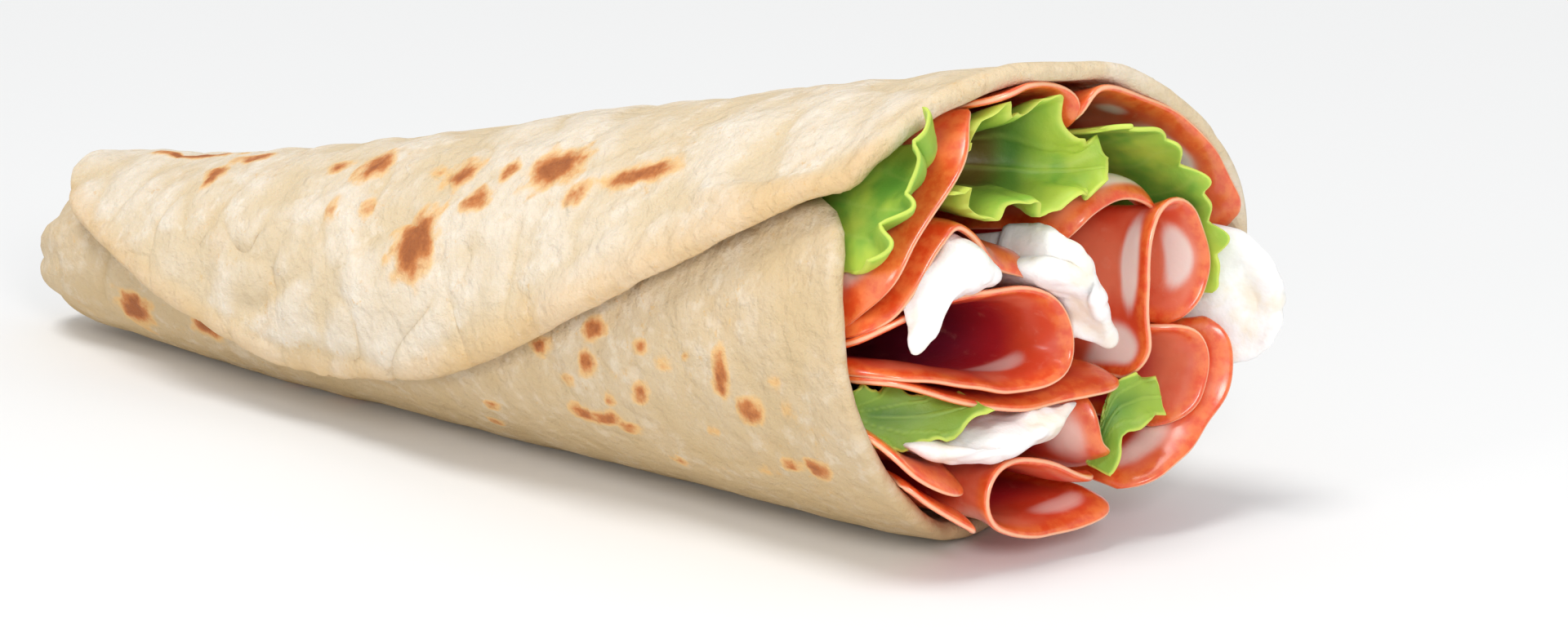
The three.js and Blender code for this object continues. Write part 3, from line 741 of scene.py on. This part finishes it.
# The sheet behind its front edge: rows at the depths that show, then at the stations behind them.
def sheetRows(front, y, z, settings):
    edge = edgeSteps(settings["edgeRadius"], 3)
    shown = np.linspace(settings["edgeRadius"], settings["shownDepth"], settings["shownRows"])
    depths = [np.full_like(front, depth) for depth in (*edge, *shown)]
    depths += [front - x for x in settings["stations"][1:]]
    knotsX = [front] + [np.full_like(front, x) for x in settings["stations"]]
    knots = [inSection(x, y, z) for x in knotsX]
    rows = [betweenKnots(front - depth, knotsX, knots) for depth in depths]
    return np.stack(rows, axis=1), np.stack(depths, axis=1)


def curlEdge(points, depth, share, sheet, settings, seed):  # leans, ruffles and curls its front edge
    curl = np.maximum(1 - depth / settings["curlDepth"], 0) ** 2
    swing = sheet.get("ruffle", 0) * 0.5 * np.cos(2 * math.pi * sheet.get("waves", 0) * share)
    tipward = smoothstep(share, 0.5, 0.8)
    for axis in (0, 1):
        lean = sheet.get("lean", [0, 0])[axis] + sheet.get("tip", [0, 0])[axis] * tipward
        points[..., 1 + axis] += curl * (lean + swing * (1 - axis))[:, None]
    ripple = settings["ripple"] * lumpiness(points * [0.3, 1, 1], settings["rippleSize"], seed + 20)
    turned = curl * lerp(*sheet.get("curl", [0, 0]), share)[:, None]
    return points + gridNormals(points) * (ripple * (1 - smoothstep(depth, 12, 26)) + turned)[..., None]


def fatAndHighlightPatches(patches, share, pathLength, depth):  # how much painted highlight and fat pale the ham, from 0 to 1
    fat = np.zeros_like(depth)
    for middle, back, halfAlong, halfBack, strength in patches:
        offAlong = (share - middle) * pathLength / halfAlong
        reach = offAlong ** 2 + ((depth - back) / halfBack) ** 2
        fat = np.maximum(fat, strength * np.exp(-reach ** 2))
    return fat


# A folded slice or leaf: its path across the section, run back into the roll.
def foldedSheet(name, sheet, settings, seed):
    share, y, z, pathLength = sheetPath(sheet, settings)
    front = sheetFront(sheet, settings, share, y, z, pathLength, seed)
    points, depth = sheetRows(front, y, z, settings)
    points = curlEdge(points, depth, share, sheet, settings, seed)
    share = share[:, None]
    toEdge = np.minimum(depth, np.minimum(share, 1 - share) * pathLength)
    # the depth field, scaled by shade, sets how much painted shade a place takes
    fields = {"depth": depth * sheet.get("shade", 1), "toEdge": toEdge}
    if "veinGap" in settings:
        across = share * pathLength * (1 - 0.012 * depth) / settings["veinGap"]
        ribs = across + 0.5 * lumpiness(points, 9, seed + 5)
        fields["vein"] = 1 - smoothstep(np.abs(ribs - np.round(ribs)) * settings["veinGap"], 0, 0.55)
    if "rind" in sheet:
        fields["rind"] = toEdge / sheet["rind"]
        fields["fat"] = fatAndHighlightPatches(sheet.get("fat", []), share, pathLength, depth)
    toBack = points[..., 0] - settings["stations"][-1]
    fullness = roundedEdge(np.minimum(toEdge, toBack), settings["edgeRadius"])
    piece = gridPiece(name, points)
    thicken(piece, settings["thickness"], fullness, fields)
    return piece


def makeHam(material):
    for seed, (name, cut) in enumerate(ham["slices"].items()):
        piece = foldedSheet(name.replace("ham_", "hamSlice_"), cut, ham, seed)
        finishPiece(piece, name, material, 50)
    print("ham made:", len(ham["slices"]), "slices")


def hamMaterial():
    finish = Finish("curedHam")
    depth = finish.field("depth")
    toEdge = finish.field("toEdge")
    cloudy = finish.noise(60, 3)
    mottled = finish.noise(340, 4, 0.6)
    wander = (cloudy - 0.5) * 9
    face = finish.mix(finish.ramp(cloudy, 0.4, 0.62), colour(224, 80, 46), colour(240, 126, 92))
    # redder and then darker the deeper a place lies in the mouth: partly the meat's own red, mostly painted
    # shade
    shadedMeat = finish.mix(finish.ramp(depth + wander, 7, 16), face, colour(188, 38, 46))
    deepShade = finish.mix(finish.ramp(depth, 15, 29), shadedMeat, colour(136, 32, 54))
    marbled = finish.mix(finish.ramp(mottled, 0.56, 0.74) * 0.2, deepShade, colour(248, 176, 152))
    # pale patches where the slices catch the light: painted highlights, partly fat
    pale = finish.ramp(finish.field("fat") + (cloudy - 0.5) * 0.5, 0.08, 0.8)
    fatAndHighlighted = finish.mix(pale, marbled, colour(255, 228, 219))
    rind = finish.mix(finish.ramp(mottled, 0.34, 0.66), colour(228, 78, 26), colour(244, 122, 58))
    body = finish.mix(finish.ramp(finish.field("rind") + wander * 0.06, 0.5, 1.3), rind, fatAndHighlighted)
    rim = finish.mix((1 - finish.ramp(toEdge, 0.0, 0.16)) * 0.85, body, colour(250, 190, 150))
    return finish.skin({
        "Base Color": rim,
        "Roughness": 0.3 + mottled * 0.12,
        "Normal": finish.bump(mottled, 0.25, 0.0005),
        "Subsurface Weight": 0.25,
        "Subsurface Radius": (0.004, 0.0014, 0.001),
        "Subsurface Scale": 1.0,
        "Coat Weight": 1.0,
        "Coat Roughness": 0.2,
    })


leaf = {
    "thickness": 0.9,
    "stations": [85, 20],
    "stepAlong": 0.5,
    "softening": 1.2,
    "shownDepth": 24, "shownRows": 36,
    "edgeRadius": 0.45, "cornerRadius": 1.5,
    "wave": 0.9, "waveSize": 3.4,
    "ripple": 0.6, "rippleSize": 4.5,
    "curlDepth": 6,
    "veinGap": 5.2,
    "frill": 1.3, "frillSize": 5,  # how far and how finely the margins are ruffled
    "faceColumns": 70, "faceRows": 40,
    # leaves that run back into the roll, described as the ham's slices are
    "sheets": {
        "leaf_left": {
            "path": [[-33, 54], [-30.8, 58.4], [-26.9, 63.7], [-23.3, 68.1], [-20.7, 71.1]],
            "fronts": [1, 1, 2, 2, 2],
            "lean": [-3.4, 2.6], "ruffle": 1, "waves": 3, "lobes": 2.4, "lobeCount": 4,
            "tip": [-4.5, 4],  # its upper end turns up over the bread's rim
            "extend": [0, 3], "shade": 0.28,
        },
        "leaf_right": {
            "path": [
                [10.4, 69.6], [18, 68.4], [23.4, 64], [27.6, 58.2], [30.4, 51.6], [31.2, 45], [30.6, 38.5],
            ],
            "fronts": [2, 2, 2, 2],
            "ruffle": 1, "waves": 4, "lobes": 2, "lobeCount": 7, "shade": 0.3,
        },
    },
    # leaves that face out: their margins, how far ahead these stand, how deep the leaf is cupped,
    # how far it is drawn out at its right end in y and z (reach), and at the left and right ends
    # how far ahead the margins are bent, how far the lower one hangs and the upper one rises
    # hook: how far its left end reaches down; bayGap: between its lobes; dim: how much painted shade darkens
    # it
    "faces": {
        "leaf_center": {
            "top": [[-16.2, 70], [-12.2, 74.2], [-6.8, 75.8], [1, 74.8], [5, 69], [8, 64]],
            "bottom": [[-20.8, 65.2], [-17.4, 62.6], [-12.4, 60.4], [-6, 59.4], [0.4, 58.6], [4.6, 61]],
            "topFront": -1, "bottomFront": 2, "cup": 30, "ruffle": 1, "waves": 4, "lobes": 3.4,
            "reach": [5, 0.5], "bayGap": 9,
        },
        "leaf_lower_left": {
            "top": [[-34, 33.8], [-29.6, 33.4], [-24, 31], [-17.6, 28.4]],
            "bottom": [[-34, 29.8], [-31, 27.3], [-25, 26.2], [-17.8, 27]],
            "topFront": -8, "bottomFront": 0, "cup": 1, "ruffle": 0.8, "waves": 2, "lobes": 1.4,
            "reach": [0, 2.4], "ahead": [[0, 5], [-7, 4]], "dim": 11,
            "hang": [5, 1.2], "bayGap": 6,
        },
        "leaf_lower_right": {
            "top": [[6.2, 24.6], [10.6, 25.8], [15, 25.8], [18, 23.6]],
            "bottom": [[6.2, 15.6], [8.8, 18.4], [13.4, 20], [17.8, 21]],
            "topFront": -4, "bottomFront": 2, "cup": 2, "ruffle": 0.8, "waves": 2, "lobes": 0.8,
            "hook": 10, "ahead": [[2, 5], [0, 0]], "rise": [0, 3], "dim": 7, "bayGap": 7,
        },
    },
}


# A leaf that faces out of the mouth, cupped between a top and a bottom line of the section.
def leafFace(name, face, seed):
    columns, rows = leaf["faceColumns"], leaf["faceRows"]
    topLine, _ = smoothPath(face["top"], columns)
    bottomLine, width = smoothPath(face["bottom"], columns)
    u = np.linspace(0, 1, columns)[:, None]
    v = np.linspace(0, 1, rows)[None, :]
    margin = np.abs(2 * v - 1)
    phase = 2 * math.pi * face["waves"] * u
    wave = np.sin(phase) * face["ruffle"] * margin ** 2
    height = np.linalg.norm(topLine - bottomLine, axis=1)[:, None]
    # noise is read here along each margin, with the two margins far apart
    side = np.stack([u * width + 0 * v, 40 * np.round(v) + 0 * u, 0 * u * v], axis=-1)
    turn = math.pi * u * width / face["bayGap"] + 1.6 * lumpiness(side, 11, seed + 1)
    lobes = 1 - np.abs(np.sin(turn)) ** 1.3
    teeth = 1 - np.abs(np.sin(2.7 * turn + 1.2 * lumpiness(side, 5, seed + 2)))
    scallop = face["lobes"] * (lobes + 0.3 * teeth - 0.5) * smoothstep(margin, 0.35, 1)
    stretch = v + np.sign(2 * v - 1) * scallop / height
    y = lerp(topLine[:, :1], bottomLine[:, :1], stretch)
    z = lerp(topLine[:, 1:], bottomLine[:, 1:], stretch)
    reachY, reachZ = face.get("reach", [0, 0])
    aheadTop, aheadBottom = face.get("ahead", [[0, 0], [0, 0]])
    hanging = lerp(*face.get("hang", [0, 0]), u) * v ** 1.5
    hooked = (1 - smoothstep(u, 0, 0.5)) * (1 - 0.75 * v)
    y = y + reachY * u ** 2
    z = z + reachZ * u ** 2 - hanging - face.get("hook", 0) * hooked
    z = z + lerp(*face.get("rise", [0, 0]), u) * (1 - v)
    hollow = face["cup"] * 4 * v * (1 - v) * (1 - u ** 1.5)
    x = mouthPlane(y, z) + lerp(face["topFront"], face["bottomFront"], v) + wave - hollow
    x = x + lerp(lerp(*aheadTop, u), lerp(*aheadBottom, u), v)
    x = x + leaf["frill"] * lumpiness(side, leaf["frillSize"], seed + 4) * smoothstep(margin, 0.5, 1)
    points = inSection(x, y, z)
    ribs = 2.4 * np.arctan2(v - 0.55, u + 0.12) + 0.12 * lumpiness(side, 8, seed + 6)
    vein = 1 - smoothstep(np.abs(ribs - np.round(ribs)), 0, 0.09)
    normals = -gridNormals(points)
    crinkle = 0.22 * lumpiness(points, 3.2, seed) + 0.4 * lumpiness(points, 7, seed + 3) + 0.18 * vein
    points = points + normals * crinkle[..., None]
    toSide = np.minimum(u, 1 - u) * width + 0 * v
    toEdge = np.minimum(toSide, np.minimum(v, 1 - v) * height)
    piece = gridPiece(name, points[:, ::-1])
    # painted shade in the cup's hollow, most towards its left end
    shade = hollow * 0.3 + face["cup"] * (1 - smoothstep(u, 0.46, 0.86)) * (1 - margin ** 2)
    fields = {"depth": shade + face.get("dim", 0) + 0 * x, "toEdge": toEdge, "vein": vein + 0 * x}
    fields = {field: values[:, ::-1] for field, values in fields.items()}
    thicken(piece, leaf["thickness"], roundedEdge(fields["toEdge"], leaf["edgeRadius"]), fields)
    return piece


def makeLeaves(material):
    for seed, (name, sheet) in enumerate(leaf["sheets"].items()):
        piece = foldedSheet(name.replace("leaf_", "lettuce_"), sheet, leaf, seed + 40)
        finishPiece(piece, name, material, 80)
    for seed, (name, face) in enumerate(leaf["faces"].items()):
        piece = leafFace(name.replace("leaf_", "lettuce_"), face, seed + 50)
        finishPiece(piece, name, material, 80)
    print("lettuce made")


def leafMaterial():
    finish = Finish("lettuceLeaf")
    toEdge = finish.field("toEdge")
    depth = finish.field("depth")
    vein = finish.field("vein")
    cloudy = finish.noise(85, 3)
    crisp = finish.noise(420, 4, 0.6)
    green = finish.mix(finish.ramp(cloudy, 0.34, 0.66), colour(108, 166, 60), colour(188, 206, 78))
    inner = depth + (cloudy - 0.5) * 8
    # darker green and then brown where the depth field is high: painted shade
    shadedGreen = finish.mix(finish.ramp(inner, 2, 12) * 0.88, green, colour(54, 104, 34))
    shaded = finish.mix(finish.ramp(inner, 12, 24) * 0.9, shadedGreen, colour(98, 74, 28))
    veined = finish.mix(vein * 0.2, shaded, colour(188, 208, 104))
    # paler towards the margins and lightest at the very edge: partly the leaf's own colour, partly painted
    # highlight on the ruffled edges
    pale = finish.mix((1 - finish.ramp(toEdge, 0.8, 4)) * 0.4, veined, colour(176, 208, 76))
    edged = finish.mix((1 - finish.ramp(toEdge, 0.05, 0.32)) * 0.8, pale, colour(208, 222, 100))
    return finish.skin({
        "Base Color": edged,
        "Roughness": 0.48,
        "Specular IOR Level": 0.35,
        "Normal": finish.bump(crisp, 0.35, 0.0005),
        "Subsurface Weight": 0.2,
        "Subsurface Radius": (0.001, 0.002, 0.0004),
        "Subsurface Scale": 1.0,
    })


cheese = {
    "stations": [20, 85],
    "around": 96, "rings": 72,
    "inside": 0.3, "domeStart": -9,  # the share of the rings behind the dome, and where it starts
    # outline across the section, station of its front, how far that swells, its spill in y and z
    "lumps": {
        "cheese_left": {
            "outline": [
                [-20, 58.6], [-23.5, 54.8], [-26.3, 49.5], [-28.8, 46.8], [-27, 46.6], [-20, 47.6],
                [-12, 47.5], [-8.8, 48.6], [-10.8, 53.2], [-16, 57.9],
            ],
            "front": 97, "swell": 6.5, "spill": [-1.4, 0],
            "drip": [-27.5, 47, 4.5, -6, 7.5, 2],  # from y, z, its reach, then how far in y, down, ahead
        },
        "cheese_center": {
            "outline": [
                [0, 55.6], [-1.6, 53], [-2.4, 50.6], [-6.4, 50.8], [-7.4, 49], [-5, 47], [-0.6, 44.6],
                [2.4, 41], [3.8, 35.4], [6.2, 36.6], [6.8, 41], [5.4, 46.4], [2.8, 52],
            ],
            "front": 105, "swell": 7, "spill": [0, 0],
            "drip": [4, 37, 4, 3.5, 4, 1.5],
            "neck": 0.55, "heart": [2.8, 52],  # how slim it is further in, and round what place
        },
        "cheese_lower": {
            "outline": [
                [2.4, 26.7], [-6, 26.5], [-14, 25.6], [-22, 24.4], [-28.2, 24.2], [-26.6, 22.8],
                [-22.6, 20.9], [-17, 20.6], [-10.6, 20], [-6, 21.2], [-1, 23.8],
            ],
            "front": 103, "swell": 6, "spill": [0, -1],
            "drip": [2.4, 26.7, 4, 5, -2, 1],
        },
        "cheese_right": {
            "outline": [
                [33.6, 49.6], [33, 44], [33, 37], [32.8, 30], [32.8, 25.6], [34.6, 26.4], [36.8, 31],
                [37.6, 38], [36.6, 43.6], [35, 47.4],
            ],
            "front": 118, "swell": 7, "spill": [3, -1],
        },
    },
}


# A soft lump: a rounded outline in the section with a swollen front that spills out of the mouth.
def cheeseLump(name, lump):
    around, rings = cheese["around"], cheese["rings"]
    bpy.ops.object.select_all(action="DESELECT")
    bpy.ops.mesh.primitive_uv_sphere_add(segments=around, ring_count=rings, radius=1)
    piece = bpy.context.object
    piece.name = name
    piece.data.name = name
    ball = readPlaces(piece) * mm
    polar = np.arccos(np.clip(-ball[:, 2], -1, 1)) / math.pi  # 0 at the back pole, 1 at the front
    turn = np.arctan2(ball[:, 1], ball[:, 0]) / (2 * math.pi) % 1
    outline, rimLength = smoothPath(lump["outline"] + [lump["outline"][0]], 240)
    outline = softened(outline, rimLength, 1)
    middle = np.mean(np.array(lump["outline"], float), axis=0)
    evenly = np.linspace(0, 1, len(outline))
    rimY = np.interp(turn, evenly, outline[:, 0]) - middle[0]
    rimZ = np.interp(turn, evenly, outline[:, 1]) - middle[1]
    back, neck = cheese["stations"]
    swell, front = lump["swell"], lump["front"]
    inside, start = cheese["inside"], cheese["domeStart"]
    dome = np.clip((polar - inside) / (1 - inside), 0, 1) * math.pi / 2
    behind = [[0, back - 4 - front], [0.06, back - front], [0.16, neck - front], [inside, start]]
    ahead = np.where(polar < inside, readCurve(behind, polar), lerp(start, swell, np.sin(dome)))
    slim = lump.get("neck", 1)
    taper = readCurve([[0, 0], [0.06, 0.6 * slim], [0.16, 0.94 * slim], [inside, 1.04]], polar)
    size = np.where(polar < inside, taper, 1.04 * np.cos(dome) ** 0.7)
    out = smoothstep(ahead, start, swell * 0.5)
    heart = lump.get("heart", middle)
    inward = np.maximum(1 - size, 0) * (polar < inside)
    y = rimY * size + (heart[0] - middle[0]) * inward
    z = rimZ * size + (heart[1] - middle[1]) * inward
    tilt = out * (roll["mouthSlopeY"] * y + roll["mouthSlopeZ"] * z)
    fromY, fromZ, reach, sideways, down, further = lump.get("drip", [0, 0, 1, 0, 0, 0])
    toDrip = ((middle[0] + y - fromY) ** 2 + (middle[1] + z - fromZ) ** 2) / reach ** 2
    drip = np.exp(-toDrip ** 2) * smoothstep(ahead, 0, swell * 0.6)
    points = inSection(
        front + ahead + tilt + drip * further,
        middle[0] + y + out * lump["spill"][0] + drip * sideways,
        middle[1] + z + out * lump["spill"][1] - drip * down,
    )
    setPlaces(piece, centred(points))
    return piece, out


def makeCheese(material):
    for seed, (name, lump) in enumerate(cheese["lumps"].items()):
        piece, out = cheeseLump(name.replace("cheese_", "softCheese_"), lump)
        normals = np.empty(len(piece.data.vertices) * 3)
        piece.data.vertices.foreach_get("normal", normals)
        normals = normals.reshape(-1, 3)
        places = readPlaces(piece)
        curds = 1.4 * lumpiness(places, 6.5, seed + 60) + 0.7 * np.abs(lumpiness(places, 3.6, seed + 70))
        setPlaces(piece, places + normals * ((curds + 0.3) * out)[:, None])
        finishPiece(piece, name, material, 180)
    print("cheese made")


def cheeseMaterial():
    finish = Finish("softCheese")
    cloudy = finish.noise(90, 4)
    curdled = finish.noise(260, 4, 0.55)
    milky = finish.mix(finish.ramp(cloudy, 0.34, 0.5), colour(245, 236, 221), colour(253, 252, 250))
    return finish.skin({
        "Base Color": milky,
        "Roughness": 0.32 + cloudy * 0.1,
        "Normal": finish.bump(curdled, 0.45, 0.0014),
        "Subsurface Weight": 0.5,
        "Subsurface Radius": (0.005, 0.0045, 0.004),
        "Subsurface Scale": 1.0,
        "Coat Weight": 0.3,
        "Coat Roughness": 0.15,
    })


def aim(thing, place, target):
    toward = Vector(target) - Vector(place)
    thing.location = Vector(place) * mm
    thing.rotation_euler = toward.to_track_quat("-Z", "Y").to_euler()


camera = {
    "azimuth": 38, "elevation": 15,  # degrees round from the near side, and up
    "distance": 620, "target": (56.19, -2.35, 31.39),
    "lens": 82.2, "sensorWidth": 36,
}


def makeCamera():
    azimuth, elevation = math.radians(camera["azimuth"]), math.radians(camera["elevation"])
    back = Vector((math.sin(azimuth) * math.cos(elevation), -math.cos(azimuth) * math.cos(elevation),
                   math.sin(elevation)))
    target = Vector(camera["target"])
    bpy.ops.object.camera_add()
    seen = bpy.context.object
    seen.name = "photoCamera"
    aim(seen, target + back * camera["distance"], target)
    seen.data.lens = camera["lens"]
    seen.data.sensor_width = camera["sensorWidth"]
    bpy.context.scene.camera = seen
    print("camera made")


studio = {
    "skyColour": (0.95, 0.96, 0.97), "skyStrength": 0.63,
    "sunStrength": 1.4, "sunPlace": (-70, -160, 640), "sunSpread": 24, "sunColour": (1.0, 0.985, 0.96),
    # softboxes that open up the mouth and gloss the ham: watts, place, size
    "softboxes": {
        "mouthFill": [1.5, (520, -380, 330), 200],
        "sideGloss": [0.45, (-60, -560, 190), 130],
    },
    "softboxTarget": (100, 0, 40),
    "floorColour": (0.83, 0.835, 0.84), "floorSize": 4.0,
}


def addLamp(kind, name, place, target, **settings):
    bpy.ops.object.light_add(type=kind)
    lamp = bpy.context.object
    lamp.name = name
    for setting, value in settings.items():
        setattr(lamp.data, setting, value)
    aim(lamp, place, target)


def makeFloor():
    bpy.ops.mesh.primitive_plane_add(size=studio["floorSize"])
    ground = bpy.context.object
    ground.name = "floor"
    pale = Finish("paleFloor")
    dapple = pale.noise(3, 2)
    tone = pale.mix(dapple, studio["floorColour"], tuple(c * 1.01 for c in studio["floorColour"]))
    ground.data.materials.append(pale.skin({"Base Color": tone, "Roughness": 0.9}))


def makeStudio():
    world = bpy.data.worlds.new("paleRoom")
    world.use_nodes = True
    sky = world.node_tree.nodes["Background"]
    sky.inputs["Color"].default_value = (*studio["skyColour"], 1)
    sky.inputs["Strength"].default_value = studio["skyStrength"]
    bpy.context.scene.world = world
    addLamp("SUN", "softSun", studio["sunPlace"], (0, 0, 0), energy=studio["sunStrength"],
            angle=math.radians(studio["sunSpread"]), color=studio["sunColour"])
    for name, (watts, place, size) in studio["softboxes"].items():
        addLamp("AREA", name, place, studio["softboxTarget"], shape="DISK", size=size * mm, energy=watts)
    makeFloor()
    bpy.context.scene.view_settings.view_transform = "Standard"
    print("studio made")


makeCamera()
makeStudio()
makeBread(breadMaterial())
makeHam(hamMaterial())
makeLeaves(leafMaterial())
makeCheese(cheeseMaterial())
